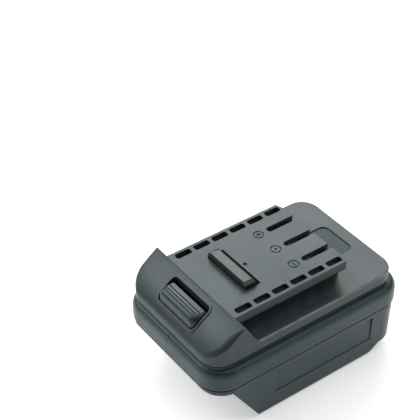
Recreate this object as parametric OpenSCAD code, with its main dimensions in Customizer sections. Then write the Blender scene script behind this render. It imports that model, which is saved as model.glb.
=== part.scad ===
// Slide-on battery adapter: a tool-side rail head with a sprung latch on a two-piece
// lower shell that takes a slide-in battery pack. Millimetres, +Z up, front end at -Y.

/* [Body] */
// Width over the widest part of the lower shells
body_w = 80; // [79:0.5:83]
// Length of the lower shells from the front end to the rear end
body_l = 122.6; // [121.6:0.2:126]
// Distance from the front end of the shells to the crease above the ramp
chin_l = 20.6; // [20.4:0.1:21.4]
// Height of the side skirts below the shoulder
skirt_h = 31.5; // [30.5:0.1:32.5]
// Height of the shoulder between the skirts and the cover
shoulder_h = 14.7; // [14.4:0.1:15.6]
// Plan radius of the front corners of the shells
front_r = 14; // [13:0.5:16]
// Plan radius of the rear corners of the shells
rear_r = 12.5; // [11.5:0.5:14]
// Wall thickness of the mouldings
wall = 2.5; // [2.3:0.1:2.6]
// Gap along the seam between the two lower shells
seam_gap = 0.24; // [0.1:0.02:0.3]

/* [Pack bay] */
// Clear width between the two rail lips
lip_gap = 57; // [55:0.5:58]
// Overhang of each rail lip
lip_in = 4.5; // [4.3:0.1:4.8]
// Thickness of the rail lips
lip_t = 4.2; // [3.6:0.1:5]
// Width of the latch pocket in the bay floor
pocket_w = 37.8; // [34:0.2:40]
// Depth of the latch pocket
pocket_h = 9; // [7:0.5:9.5]
// Length of the rear shelf from its front edge to the rear end of the shells
shelf_l = 30.2; // [29:0.1:31.5]

/* [Cover] */
// Distance that the cover stands in from the sides of the shells
cover_step = 3; // [2.8:0.1:3.4]
// Distance that the cover stands in from the front of the shells
cover_nose = 1.6; // [1.4:0.1:2.2]
// Distance that the cover stands in from the rear of the shells
cover_tail = 4; // [3.6:0.1:4.6]
// Height of the cover from the parting line to the deck
cover_wall_h = 5.8; // [5.6:0.1:6.4]
// Drop of the ramp from the crease to its front edge
ramp_drop = 14.4; // [13.6:0.1:14.8]
// Rise of the ramp's curve above its chord
ramp_sag = 1.6; // [1.2:0.1:2]
// Length of the slanted rear face of the ramp block
wedge_slant = 7.6; // [7:0.1:8.2]

/* [Rail head] */
// Width over the rail lips of the head
head_w = 56.6; // [55.5:0.1:57.5]
// Length of the head behind the crease
head_l = 71.3; // [70.6:0.1:72.4]
// Height of the head above the deck
head_h = 13; // [12.8:0.1:13.6]
// Height of the outer face of the rail lips
rail_lip_h = 5; // [4.4:0.1:5.4]
// Width of the neck below the rail lips
neck_w = 43; // [42.6:0.1:44.4]
// Width of the slots along the rails
rail_slot_w = 3.7; // [3.2:0.1:4]
// Length of the slots along the rails
rail_slot_l = 9.3; // [8.4:0.1:9.6]
// Spacing of the slots along the rails
rail_slot_pitch = 11.4; // [10.8:0.1:11.6]

/* [Latch] */
// Width of the hook bar
hook_w = 30.6; // [28:0.2:31.2]
// Rise of the hook bar above the head
hook_rise = 4; // [3.4:0.1:4.4]
// Width of the release button
button_w = 29.5; // [27:0.5:30.5]
// Travel of the latch when the button is pressed
latch_travel = 4.2; // [3.6:0.1:4.4]
// Clearance of the latch in the openings of the cover
latch_gap = 0.35; // [0.3:0.05:0.45]
// Diameter of the two guide pins
guide_d = 3.6; // [3:0.1:3.8]
// Mean diameter of the latch springs
spring_d = 5.5; // [5.3:0.1:5.7]
// Wire diameter of the latch springs
spring_wire = 0.7; // [0.6:0.05:0.8]

/* [Terminals] */
// Spacing of the two blade contacts
blade_pitch = 42; // [41:0.2:42.6]
// Thickness of the blade contacts
blade_t = 0.8; // [0.6:0.05:1]
// Length of the blade contacts
blade_l = 30; // [27:0.5:31]
// Spacing of the three spring clips of the head
clip_pitch = 14.2; // [13.8:0.1:14.4]
// Width of the terminal slots of the head
clip_slot_w = 3.6; // [3.4:0.1:4]
// Thickness of the clip leaves
clip_t = 0.6; // [0.4:0.05:0.7]

/* [Electronics] */
// Width of the circuit board
board_w = 38; // [36:0.5:39]
// Thickness of the circuit board
board_t = 1.6; // [1.2:0.1:2]
// Diameter of the capacitor
cap_d = 8; // [6:0.5:9]
// Diameter of the insulated leads
lead_d = 2.6; // [2:0.1:3]

/* [Hidden] */
$fn = 96;

// Levels above the floor
z_part = skirt_h + shoulder_h;
z_deck = z_part + cover_wall_h;
z_top = z_deck + head_h;
z_bay = skirt_h - 3.7;
z_floor = z_bay + wall;
z_shelf = 9.4;
// Positions along the slide, measured from the crease
y_front = -chin_l;
y_rear = body_l - chin_l;
y_cover_front = y_front + cover_nose;
y_cover_rear = y_rear - cover_tail;
y_shelf = y_rear - shelf_l;
y_rail = 9.4;
y_lip = 13;
y_notch = y_shelf + 5.3;
y_hollow = y_cover_front + 4.9;
// Half widths
body_x = body_w / 2;
cover_x = body_x - cover_step;
head_x = head_w / 2;
neck_x = neck_w / 2;
bay_x = lip_gap / 2 + lip_in;
cavity_x = cover_x - wall - 0.5;
tongue_gap = 0.2;
// Plan radii of the cover
cover_front_r = front_r - 3;
cover_rear_r = rear_r - 2;
// Arc of the ramp from the flat in front of the crease to the front edge
crease_flat = 0.3;
ramp_l = -y_cover_front - crease_flat;
ramp_c = sqrt(ramp_l * ramp_l + ramp_drop * ramp_drop);
ramp_r = (ramp_c * ramp_c / 4 + ramp_sag * ramp_sag) / (2 * ramp_sag);
ramp_cy = -crease_flat - ramp_l / 2 + ramp_drop / ramp_c * (ramp_r - ramp_sag);
ramp_cz = z_top - ramp_drop / 2 - ramp_l / ramp_c * (ramp_r - ramp_sag);
// Rear ends of the rail lips
lip_end = 1.4;
lip_cut = 4.8;
// Latch
hook_y = 16.2;
hook_l = 8.2;
hook_gap = 1.2;
button_y = -15.4;
button_l = 9.2;
button_top = z_top - 3.1;
button_roll = 3.2;
opening_y1 = -4.4;
slide_z = z_part + 2.5;
slide_t = 2.8;
pad_z = z_floor + 4;
pad_x = 20;
pad_w = 7;
bracket_z = pad_z + wall;
spring_x = 10;
guide_y = 10.1;
guide_play = 0.3;
stop_gap = 0.3;
// Terminal block
block_x = blade_pitch / 2 + 2.3;
block_y1 = y_shelf - 9.1;
block_y0 = guide_y + 5.9;
block_gap = 0.25;
block_flange = 2;
z_blade = z_shelf + 0.3;
blade_y1 = block_y1 - 5.7;
// Width and depth of the sunk marks on the cover
mark_w = 0.6;
mark_h = 0.6;
// Clips
clip_y = head_l - 17.3;
clip_x = clip_slot_w / 2 - 0.1;
clip_l = 11.8;
carrier_z = z_top - 9.5;
carrier_t = 2.5;
tail_y = clip_y + 5;
// Board
z_board = z_floor + block_flange + 5;
board_y0 = block_y1 - 31.7;
board_l = 29;
cap_gap = 1.4;
post_x = 15.5;
post_in = 3;
// Screw positions in the lower shells, along Y and above the floor
SCREWS = [[y_shelf - 2.9, z_floor + 4.7], [y_rear - 18, 19], [y_rear - 13, z_part - 11.2]];
screw_d = 3;
screw_head = 5.6;
screw_l = 19;
screw_cap = 2;
// Distance of the screw heads from the seam, and the reach of each boss into its wall
screw_seat = 8;
boss_in = 1;
boss_d = 7;

// Moves a piece from the crease to the centre of the body
module at_crease() {
    translate([0, chin_l - body_l / 2, 0])
        children();
}

// Flat shape with rounded corners, front radius rf and rear radius rr
module plan(hx, y0, y1, rf, rr) {
    translate([-hx, y0 + rf])
        square([2 * hx, y1 - y0 - rf - rr]);
    translate([rf - hx, y0])
        square([2 * (hx - rf), y1 - y0 - rr]);
    translate([rr - hx, y0 + rf])
        square([2 * (hx - rr), y1 - y0 - rf]);
    for (s = [-1, 1]) {
        translate([s * (hx - rf), y0 + rf])
            circle(rf);
        translate([s * (hx - rr), y1 - rr])
            circle(rr);
    }
}

// Upright block on a rounded plan
module slab(hx, y0, y1, rf, rr, z0, z1) {
    translate([0, 0, z0])
        linear_extrude(z1 - z0)
            plan(hx, y0, y1, rf, rr);
}

// Box between two corners, symmetric about the middle
module bar(hx, y0, y1, z0, z1) {
    translate([-hx, y0, z0])
        cube([2 * hx, y1 - y0, z1 - z0]);
}

// Prism across the body from a side profile of [y, z] points
module across(hx) {
    translate([-hx, 0, 0])
        rotate([90, 0, 90])
            linear_extrude(2 * hx)
                children();
}

// Body with a rounded plan whose wall follows a profile of [offset, z] points
module swept(hx, y0, y1, rf, rr, p) {
    n = len(p) - 1;
    translate([0, y1 - rr, 0])
        rotate([90, 0, 0])
            linear_extrude(y1 - y0 - rf - rr)
                polygon(concat([for (i = [0:n]) [hx + p[i][0], p[i][1]]],
                               [for (i = [n:-1:0]) [-hx - p[i][0], p[i][1]]]));
    across(hx - rf)
        polygon(concat([for (i = [0:n]) [y0 - p[i][0], p[i][1]]],
                       [[y0 + rf, p[n][1]], [y0 + rf, p[0][1]]]));
    across(hx - rr)
        polygon(concat([for (i = [0:n]) [y1 + p[i][0], p[i][1]]],
                       [[y1 - rr, p[n][1]], [y1 - rr, p[0][1]]]));
    for (c = [[hx - rf, y0 + rf, rf, 270], [rf - hx, y0 + rf, rf, 180],
              [hx - rr, y1 - rr, rr, 0], [rr - hx, y1 - rr, rr, 90]])
        translate([c[0], c[1], 0])
            rotate([0, 0, c[3]])
                rotate_extrude(angle = 90)
                    polygon(concat([for (i = [0:n]) [c[2] + p[i][0], p[i][1]]],
                                   [[0, p[n][1]], [0, p[0][1]]]));
}

// Outer wall of the lower shells from the foot of the skirts to the top of the shoulder
function shell_profile() = [
    [-3.4, 0], [-2.2, 1], [-1.7, 2.4], [-0.7, skirt_h - 1.1], [-1.5, skirt_h - 0.8], [-1.5, skirt_h],
    [-0.1, skirt_h + 0.4], [0, skirt_h + 1.6], [0, skirt_h + 7.4], [-0.25, skirt_h + 8.9],
    [-0.8, skirt_h + 10.2], [-1.6, skirt_h + 11.1], [-2.6, skirt_h + 11.6], [-3.9, skirt_h + 11.8]];

// Neck between the shoulder and the cover, with the gap under the cover
function neck_profile() = [
    [-0.9, skirt_h + 8], [-0.9, skirt_h + 10.4], [-0.3, z_part - 0.9], [-1.3, z_part - 0.9],
    [-1.3, z_part]];

// Screw boss from the seam to a side wall
module boss(p, x, d, side) {
    translate([0, p[0], p[1]])
        rotate([0, side * 90, 0])
            cylinder(h = x, d = d);
}

// Both lower shells in one before they are parted at the seam
module shells() {
    difference() {
        union() {
            difference() {
                union() {
                    swept(body_x, y_front, y_rear, front_r, rear_r, shell_profile());
                    swept(cover_x, y_cover_front, y_cover_rear, cover_front_r, cover_rear_r, neck_profile());
                }
                slab(cavity_x, y_cover_front + 2.5, y_cover_rear - 2.8, cover_front_r - 2, cover_rear_r - 2,
                     z_floor, z_part + 1);
                bar(lip_gap / 2, y_shelf + wall, y_rear - 12.5, z_shelf + wall, z_floor + 1);
                across(body_w)
                    polygon([[y_front - 5, -1], [y_rail, -1], [y_rail, 0], [y_rail - 18.1, z_bay],
                             [y_front + 3, z_bay + 0.2], [y_front + 1.2, z_bay + 0.8],
                             [y_front + 0.3, z_bay + 1.9], [y_front - 1, z_bay + 3.4],
                             [y_front - 5, z_bay + 3.4]]);
                across(body_w)
                    polygon([[y_rear - 22, -1], [y_rear - 22, 0], [y_rear - 13.5, 6.2], [y_rear + 1, 7.4],
                             [y_rear + 1, -1]]);
            }
            bar(pocket_w / 2 + 2, y_cover_front + 3.5, 6.1, z_bay, z_bay + pocket_h + 2);
            for (s = [-1, 1])
                translate([s * pad_x - pad_w / 2, guide_y - 4, z_floor - 0.5])
                    cube([pad_w, 7.4, pad_z - z_floor + 0.5]);
            for (p = SCREWS) {
                boss(p, cavity_x + boss_in, boss_d + 1, -1);
                boss(p, cavity_x + boss_in, boss_d, 1);
            }
        }
        // Channel for the pack, its rail grooves and the latch pocket
        bar(lip_gap / 2, y_front - 1, y_shelf, -1, z_bay);
        bar(bay_x, y_front - 1, y_shelf, lip_t, z_bay);
        bar(bay_x, y_front - 1, y_lip, -1, z_bay);
        across(pocket_w / 2)
            polygon([[4.1, z_bay - 1], [4.1, z_bay + pocket_h], [y_cover_front + 8.7, z_bay + pocket_h],
                     [y_cover_front + 5.2, z_bay - 1]]);
        translate([-pocket_w / 2 - 1, y_cover_front + 5.4, z_bay - 1])
            cube([3, 6.5, pocket_h]);
        // Rear shelf, set back inside an arched rim, with its notch
        intersection() {
            bar(lip_gap / 2, y_shelf - 1, y_rear, 0, z_shelf);
            translate([0, y_rear - 58.5, 0])
                cylinder(h = z_shelf, r = 51);
        }
        bar(10, y_shelf - 1, y_notch, z_shelf - 1, z_shelf + 3);
        // Opening for the terminal block
        bar(block_x + block_gap, block_y0 - block_gap, block_y1 + block_gap, z_bay - 1, z_floor + 1);
        // Groove for the bead of the cover
        slab(cavity_x + 0.9, y_cover_front + 1.6, y_cover_rear - 1.9, cover_front_r - 2, cover_rear_r - 2,
             z_part - 3.2, z_part - 1.8);
        // Sunk panels on the sides
        for (s = [-1, 1])
            translate([s * (body_x - 0.2) - 1.5, 18.3, 12.2])
                cube([3, 63.2, skirt_h - 15.7]);
        // Holes for the housing screws
        for (p = SCREWS) {
            boss(p, screw_l - screw_seat + 2, screw_d + 0.1, 1);
            boss(p, screw_l - screw_seat + 2, screw_d + 0.4, -1);
            translate([-screw_seat, 0, 0])
                boss(p, body_x, screw_head + 0.6, -1);
        }
        for (s = [-1, 1])
            translate([s * pad_x, guide_y, z_floor + 0.4])
                cylinder(h = 4, d = 2.1);
    }
}

// Left half of the lower housing
module shell_left() {
    color([0.16, 0.18, 0.18])
        at_crease()
            intersection() {
                shells();
                translate([-body_w, y_front - 5, -5])
                    cube([body_w - seam_gap / 2, body_l + 10, z_top]);
            }
}

// Right half of the lower housing
module shell_right() {
    color([0.16, 0.18, 0.18])
        at_crease()
            intersection() {
                shells();
                translate([seam_gap / 2, y_front - 5, -5])
                    cube([body_w, body_l + 10, z_top]);
            }
}

// Side profile of the ramp block, drawn in by t
module ramp_shape(t) {
    intersection() {
        polygon([[y_front, z_part - 1], [y_front, z_top - t], [-t / 2, z_top - t],
                 [wedge_slant - t, z_deck - t / 2], [wedge_slant - t, z_part - 1]]);
        translate([ramp_cy, ramp_cz])
            circle(ramp_r - t);
    }
}

// Opening of the release button, widened by g
module button_plan(g) {
    plan(button_w / 2 + g, button_y - g, opening_y1 + g, 2.2 + g, 2.2 + g);
}

// Tool-side cover with the ramp, the deck and the rail head
module top_cover() {
    color([0.19, 0.21, 0.21])
        at_crease()
            difference() {
                union() {
                    swept(cover_x, y_cover_front, y_cover_rear, cover_front_r, cover_rear_r,
                          [[0, z_part], [0, z_part + 3]]);
                    difference() {
                        swept(cover_x, y_cover_front, y_cover_rear, cover_front_r, cover_rear_r,
                              [[0, z_part + 3], [0, z_deck - 0.6], [-0.6, z_deck]]);
                        bar(body_x, y_front, 0, z_part + 3, z_top);
                    }
                    intersection() {
                        across(body_x)
                            ramp_shape(0);
                        slab(cover_x, y_cover_front, y_cover_rear, cover_front_r, cover_rear_r,
                             z_part, z_top);
                    }
                    // Rim round the button
                    intersection() {
                        across(body_x)
                            ramp_shape(-0.5);
                        translate([0, 0, z_deck - 4])
                            linear_extrude(head_h + 4)
                                button_plan(latch_gap + 0.9);
                    }
                    // Head with its lips
                    bar(neck_x, -crease_flat / 2, head_l, z_deck - 1, z_top);
                    translate([0, 0, z_top - rail_lip_h])
                        linear_extrude(rail_lip_h)
                            polygon([[-head_x, -crease_flat / 2], [head_x, -crease_flat / 2],
                                     [head_x, head_l - lip_end], [head_x - lip_cut, head_l],
                                     [lip_cut - head_x, head_l], [-head_x, head_l - lip_end]]);
                    // Tongue inside the shells, with its bead
                    slab(cavity_x - tongue_gap, y_cover_front + 2.5 + tongue_gap,
                         y_cover_rear - 2.8 - tongue_gap, cover_front_r - 2, cover_rear_r - 2,
                         z_part - 3.6, z_part + 1);
                    slab(cavity_x + 0.5, y_cover_front + 2, y_cover_rear - 2.3, cover_front_r - 2,
                         cover_rear_r - 2, z_part - 3, z_part - 2);
                }
                // Hollow of the deck, the ramp block and the head
                slab(cavity_x - 2.4, y_hollow, y_cover_rear - 5.2, cover_front_r - 4, cover_rear_r - 4,
                     z_part - 5, z_deck - wall);
                intersection() {
                    across(cover_x - wall)
                        ramp_shape(wall);
                    slab(cover_x - wall, y_cover_front + wall, y_cover_rear, cover_front_r - wall,
                         cover_rear_r, z_part + 1.8, z_top - wall);
                }
                difference() {
                    bar(neck_x - wall + 0.3, -2, head_l - wall, z_part + 2, z_top - wall);
                    for (s = [-1, 1])
                        translate([s * clip_pitch / 2, tail_y - 2, carrier_z])
                            cylinder(h = 12, d = 6);
                }
                for (s = [-1, 1])
                    translate([s * clip_pitch / 2, tail_y - 2, carrier_z - 1])
                        cylinder(h = 6.5, d = 2.6);
                // Openings of the button and the hook
                translate([0, 0, slide_z + slide_t - latch_travel - 0.7])
                    linear_extrude(head_h + 11)
                        button_plan(latch_gap);
                bar(hook_w / 2 + latch_gap, hook_y - latch_gap, hook_y + hook_l + hook_gap,
                    z_top - wall - 1, z_top + 1);
                // Slots along the rails
                for (s = [-1, 1], i = [0:5])
                    translate([s * (head_x - 3.5), 7.7 + i * rail_slot_pitch, z_top - rail_lip_h - 1])
                        linear_extrude(rail_lip_h + 2)
                            plan(rail_slot_w / 2, -rail_slot_l / 2, rail_slot_l / 2, 1.2, 1.2);
                // Slots of the terminals, open to the rear
                for (i = [-1:1]) {
                    translate([i * clip_pitch - clip_slot_w / 2, clip_y + 0.7, carrier_z + 0.4])
                        cube([clip_slot_w, head_l, 12]);
                    translate([i * clip_pitch, clip_y + 0.7, carrier_z + 0.4])
                        cylinder(h = 12, d = clip_slot_w);
                    translate([i * clip_pitch, clip_y - 6.6, z_top - mark_h])
                        difference() {
                            cylinder(h = 1, d = 5.8);
                            translate([0, 0, -1])
                                cylinder(h = 3, d = 5.8 - 2 * mark_w);
                        }
                }
                for (i = [-1, 1])
                    translate([i * clip_pitch - 1.4, clip_y - 6.6 - mark_w / 2, z_top - mark_h])
                        cube([2.8, mark_w, 1]);
                translate([-clip_pitch - mark_w / 2, clip_y - 8, z_top - mark_h])
                    cube([mark_w, 2.8, 1]);
                translate([0, clip_y - 6.6, z_top - mark_h])
                    cylinder(h = 1, d = 1.4);
                // Gate mark behind the hook
                translate([0, hook_y + hook_l + 3.4, z_top - mark_h])
                    cylinder(h = 1, d = 2.2);
                translate([0, hook_y + hook_l + 3.4, z_top - 0.9])
                    cylinder(h = 2, d = 0.9);
                // Sunk rating field on the rear deck
                translate([0, 0, z_deck - mark_h])
                    linear_extrude(1)
                        plan(11.8, head_l + 2.6, y_cover_rear - 7.6, 2.5, 4);
            }
}

// Insulating frame that holds the two blades in the bay floor
module terminal_block() {
    color([0.12, 0.13, 0.14])
        at_crease()
            difference() {
                union() {
                    bar(block_x, block_y0, block_y1, z_bay, z_floor);
                    bar(block_x + 2.4, block_y0 - 2, block_y1 + 2, z_floor, z_floor + block_flange);
                    bar(blade_pitch / 2 + 1.3, block_y1 - 2.7, block_y1, z_blade, z_bay);
                    bar(9.5, block_y1 - 2.7, y_notch - 0.4, z_blade, z_blade + 2.3);
                    for (s = [-1, 1]) {
                        translate([s * blade_pitch / 2 - 1.5, block_y1 - 7.7, z_blade])
                            cube([3, 7.7, z_bay - z_blade]);
                        translate([s * blade_pitch / 2 - 2, block_y0, z_bay - 4])
                            cube([4, 6, 4]);
                        translate([s * blade_pitch / 2 - 1.5, block_y0, z_bay - 2])
                            cube([3, block_y1 - block_y0 - 4.7, 2]);
                    }
                    for (s = [-1, 1], y = [board_y0 + post_in, board_y0 + board_l - post_in])
                        translate([s * post_x, y, z_floor])
                            cylinder(h = z_board - z_floor, d = 5);
                }
                for (s = [-1, 1]) {
                    translate([s * blade_pitch / 2 - blade_t / 2 - 0.05, blade_y1 - blade_l - 0.05, 0])
                        cube([blade_t + 0.1, blade_l + 0.1, z_bay]);
                    translate([s * blade_pitch / 2 - blade_t / 2 - 0.05, blade_y1 - 11.05, 0])
                        cube([blade_t + 0.1, 4.1, z_floor + 4]);
                }
                for (s = [-1, 1], y = [board_y0 + post_in, board_y0 + board_l - post_in])
                    translate([s * post_x, y, z_floor + 1.4])
                        cylinder(h = 10, d = 2.1);
            }
}

// Thin sheet on the flat of the terminal block
module insulator_pad() {
    color([0.22, 0.24, 0.25])
        at_crease()
            bar(blade_pitch / 2 - 2.3, block_y0 + 0.5, block_y1 - 3, z_bay - 0.6, z_bay);
}

// Blade contact with its tail
module blade(s) {
    color([0.85, 0.85, 0.83])
        at_crease()
            translate([s * blade_pitch / 2 - blade_t / 2, 0, 0]) {
                difference() {
                    translate([0, blade_y1 - blade_l, z_blade + 0.3])
                        cube([blade_t, blade_l, z_bay - z_blade - 0.3]);
                    translate([-1, blade_y1 - blade_l, z_blade + 0.3])
                        rotate([45, 0, 0])
                            cube([4, 1.6, 1.6], center = true);
                }
                translate([0, blade_y1 - 11, z_bay - 1])
                    cube([blade_t, 4, z_floor + block_flange + 3.5 - z_bay + 1]);
            }
}

// Blade of the positive side
module blade_positive() {
    blade(-1);
}

// Blade of the negative side
module blade_negative() {
    blade(1);
}

// Plate under the head that carries the three clips
module clip_carrier() {
    color([0.12, 0.13, 0.14])
        at_crease()
            difference() {
                bar(neck_x - wall - 0.1, clip_y - 4, head_l - wall - 0.3, carrier_z - carrier_t, carrier_z);
                for (i = [-1:1])
                    translate([i * clip_pitch - 1.05, tail_y - 1.05, carrier_z - 5])
                        cube([2.1, 2.1, 10]);
                for (s = [-1, 1])
                    translate([s * clip_pitch / 2, tail_y - 2, carrier_z - 5])
                        cylinder(h = 10, d = 2.7);
            }
}

// Spring clip with two leaves and a tail
module clip(i) {
    color([0.80, 0.62, 0.34])
        at_crease()
            translate([i * clip_pitch, clip_y, carrier_z]) {
                translate([-clip_x, 0, 0])
                    cube([2 * clip_x, clip_l, clip_t]);
                for (s = [-1, 1]) {
                    translate([s * (clip_x - clip_t / 2) - clip_t / 2, 0, 0])
                        cube([clip_t, clip_l, 3.4]);
                    translate([s * (clip_x - clip_t / 2), 0, 3])
                        rotate([0, s * -12, 0])
                            translate([-clip_t / 2, 0, 0])
                                cube([clip_t, clip_l, 3.2]);
                }
                translate([-1, tail_y - clip_y - 1, -carrier_t - 3])
                    cube([2, 2, carrier_t + 3.1]);
            }
}

// Clip of the positive side
module clip_positive() {
    clip(-1);
}

// Clip of the signal line
module clip_signal() {
    clip(0);
}

// Clip of the negative side
module clip_negative() {
    clip(1);
}

// Screw along -Z with a round head, head face at the origin
module screw_down(d, l, head, cap) {
    translate([0, 0, -l])
        cylinder(h = l, d = d);
    difference() {
        cylinder(h = cap, d = head);
        for (a = [0, 90])
            rotate([0, 0, a])
                translate([-head * 0.32, -0.35, cap - 0.8])
                    cube([head * 0.64, 0.7, 1]);
    }
}

// Two screws that hold the clip carrier to the cover
module carrier_screws() {
    color([0.62, 0.63, 0.65])
        at_crease()
            for (s = [-1, 1])
                translate([s * clip_pitch / 2, tail_y - 2, carrier_z - carrier_t])
                    mirror([0, 0, 1])
                        screw_down(2.5, 7.2, 4.5, 1.6);
}

// Circuit board above the terminal block
module circuit_board() {
    color([0.07, 0.30, 0.16])
        at_crease()
            difference() {
                bar(board_w / 2, board_y0, board_y0 + board_l, z_board, z_board + board_t);
                for (s = [-1, 1], y = [board_y0 + post_in, board_y0 + board_l - post_in])
                    translate([s * post_x, y, z_board - 1])
                        cylinder(h = 5, d = 2.3);
            }
}

// Smoothing capacitor on the board
module capacitor() {
    color([0.10, 0.12, 0.20])
        at_crease()
            translate([cap_d / 2 + lead_d / 2 + cap_gap, board_y0 + 19, z_board + board_t]) {
                cylinder(h = 7.6, d = cap_d);
                cylinder(h = 8, d = cap_d - 1.6);
            }
}

// Switching transistor lying on the board with its metal tab
module power_switch() {
    color([0.14, 0.14, 0.15])
        at_crease()
            translate([-11, board_y0 + 6, z_board + board_t]) {
                cube([9, 8, 3.6]);
                translate([0.4, -4, 0])
                    cube([8.2, 5, 1.3]);
                for (x = [1, 4.1, 7.2])
                    translate([x, 7, 0.4])
                        cube([0.8, 4, 0.6]);
            }
}

// Control chip on the board
module control_chip() {
    color([0.13, 0.13, 0.14])
        at_crease()
            translate([4.5, board_y0 + 8, z_board + board_t]) {
                translate([0, 0, 0.2])
                    cube([5, 4, 1.5]);
                for (i = [0:3], y = [-0.9, 3.5])
                    translate([0.4 + i * 1.27, y, 0])
                        cube([0.4, 1.4, 0.5]);
            }
}

// Four screws that hold the board to the terminal block
module board_screws() {
    color([0.62, 0.63, 0.65])
        at_crease()
            for (s = [-1, 1], y = [board_y0 + post_in, board_y0 + board_l - post_in])
                translate([s * post_x, y, z_board + board_t])
                    screw_down(2, board_t + 4.5, 3.8, 1.4);
}

// Round lead that rises from p in a smooth bend and ends upright at q
module lead(p, q) {
    run = norm([q[0] - p[0], q[1] - p[1]]);
    rise = q[2] - p[2];
    sides = 10;
    rings = 16;
    pts = [for (i = [0:rings])
        let (t = i / rings, e = 1 - t,
             u = run * (3 * e * t * t + t * t * t),
             z = rise * (2.25 * e * e * t + 0.75 * e * t * t + t * t * t),
             du = run * 6 * e * t,
             dz = rise * (2.25 * e * e - 3 * e * t + 2.25 * t * t),
             n = norm([du, dz]))
        for (k = [0:sides - 1])
            let (c = lead_d / 2 * cos(360 * k / sides), w = lead_d / 2 * sin(360 * k / sides))
            [u + c * dz / n, w, z - c * du / n]];
    skin = [for (i = [0:rings - 1], k = [0:sides - 1])
        let (m = (k + 1) % sides)
        [i * sides + k, (i + 1) * sides + k, (i + 1) * sides + m, i * sides + m]];
    ends = [[for (k = [0:sides - 1]) k], [for (k = [sides - 1:-1:0]) rings * sides + k]];
    translate(p)
        rotate([0, 0, atan2(q[1] - p[1], q[0] - p[0])])
            polyhedron(points = pts, faces = concat(skin, ends), convexity = 6);
}

// Lead from a blade tail to a clip tail
module power_lead(s) {
    lead([s * blade_pitch / 2, blade_y1 - 9, z_floor + block_flange + 3.5],
         [s * clip_pitch, tail_y, carrier_z - carrier_t - 3]);
}

// Lead of the positive side
module lead_positive() {
    color([0.55, 0.08, 0.07])
        at_crease()
            power_lead(-1);
}

// Lead of the negative side
module lead_negative() {
    color([0.06, 0.06, 0.07])
        at_crease()
            power_lead(1);
}

// Lead from the board to the signal clip
module lead_signal() {
    color([0.75, 0.62, 0.10])
        at_crease()
            lead([0, board_y0 + board_l - 4, z_board + board_t], [0, tail_y, carrier_z - carrier_t - 3]);
}

// Plate that joins the button and the hook and runs on the guide pins
module latch_slide() {
    color([0.13, 0.14, 0.15])
        at_crease()
            difference() {
                bar(13, y_hollow + 0.5, hook_y + hook_l, slide_z, slide_z + slide_t);
                for (s = [-1, 1])
                    translate([s * spring_x, guide_y, slide_z - 1])
                        cylinder(h = slide_t + 2, d = guide_d + 2 * guide_play);
            }
}

// Flat-topped button in the ramp, with a rolled front edge and grip grooves
module release_button() {
    color([0.17, 0.19, 0.19])
        at_crease()
            difference() {
                intersection() {
                    across(body_x)
                        difference() {
                            polygon([[button_y, slide_z + slide_t], [button_y, button_top],
                                     [button_y + button_l - 0.5, button_top],
                                     [button_y + button_l, button_top - 0.5],
                                     [button_y + button_l, button_top - 4.5], [opening_y1, button_top - 4.5],
                                     [opening_y1, slide_z + slide_t]]);
                            difference() {
                                translate([button_y - 1, button_top - button_roll])
                                    square(button_roll + 1);
                                translate([button_y + button_roll, button_top - button_roll])
                                    circle(button_roll);
                            }
                        }
                    translate([0, 0, z_part])
                        linear_extrude(head_h + 10)
                            plan(button_w / 2, button_y, opening_y1, 2, 2);
                }
                for (i = [0:2])
                    translate([0, button_y + 2.2 + i * 1.9, button_top])
                        cube([button_w - 4, 0.6, 1.4], center = true);
            }
}

// Hook bar that rises through the head, with the flange that stops it
module latch_hook() {
    color([0.17, 0.19, 0.19])
        at_crease() {
            difference() {
                across(hook_w / 2)
                    polygon([[hook_y, slide_z + slide_t], [hook_y, z_top + hook_rise - 0.2],
                             [hook_y + 0.2, z_top + hook_rise], [hook_y + 5.4, z_top + hook_rise - 0.7],
                             [hook_y + 6.2, z_top + hook_rise - 1.3], [hook_y + hook_l, z_top - 0.5],
                             [hook_y + hook_l, slide_z + slide_t]]);
                for (s = [-1, 1])
                    translate([s * hook_w / 2, hook_y + hook_l / 2, z_top + hook_rise])
                        rotate([0, s * 40, 0])
                            cube([2, hook_l + 2, 4], center = true);
                bar(hook_w / 2 - 2.5, hook_y + 2, hook_y + hook_l - 2, slide_z + slide_t - 1, z_top - 3);
            }
            difference() {
                bar(hook_w / 2 + 1.8, hook_y - 1.8, hook_y + hook_l + 1.8,
                    z_top - wall - 2.8, z_top - wall - 0.2);
                bar(hook_w / 2 - 1, hook_y + 1, hook_y + hook_l - 1, z_top - wall - 4, z_top);
            }
        }
}

// Coil spring between the bracket and the slide
module coil_spring(s) {
    turns = 5;
    rise = slide_z - bracket_z - spring_wire - 0.1;
    steps = turns * 8;
    pts = [for (i = [0:steps])
        for (k = [0:5])
            let (a = 360 * i / 8, b = 60 * k, r = spring_d / 2 + spring_wire / 2 * cos(b))
            [r * cos(a), r * sin(a), rise * i / steps + spring_wire / 2 * sin(b)]];
    sides = [for (i = [0:steps - 1], k = [0:5])
        [i * 6 + k, i * 6 + (k + 1) % 6, (i + 1) * 6 + (k + 1) % 6, (i + 1) * 6 + k]];
    ends = [[5, 4, 3, 2, 1, 0], [for (k = [0:5]) steps * 6 + k]];
    echo(coil_gap = rise / turns - spring_wire);
    color([0.68, 0.69, 0.71])
        at_crease()
            translate([s * spring_x, guide_y, bracket_z + spring_wire / 2 + 0.05])
                polyhedron(points = pts, faces = concat(sides, ends), convexity = 10);
}

// Left latch spring
module latch_spring_left() {
    coil_spring(-1);
}

// Right latch spring
module latch_spring_right() {
    coil_spring(1);
}

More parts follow.
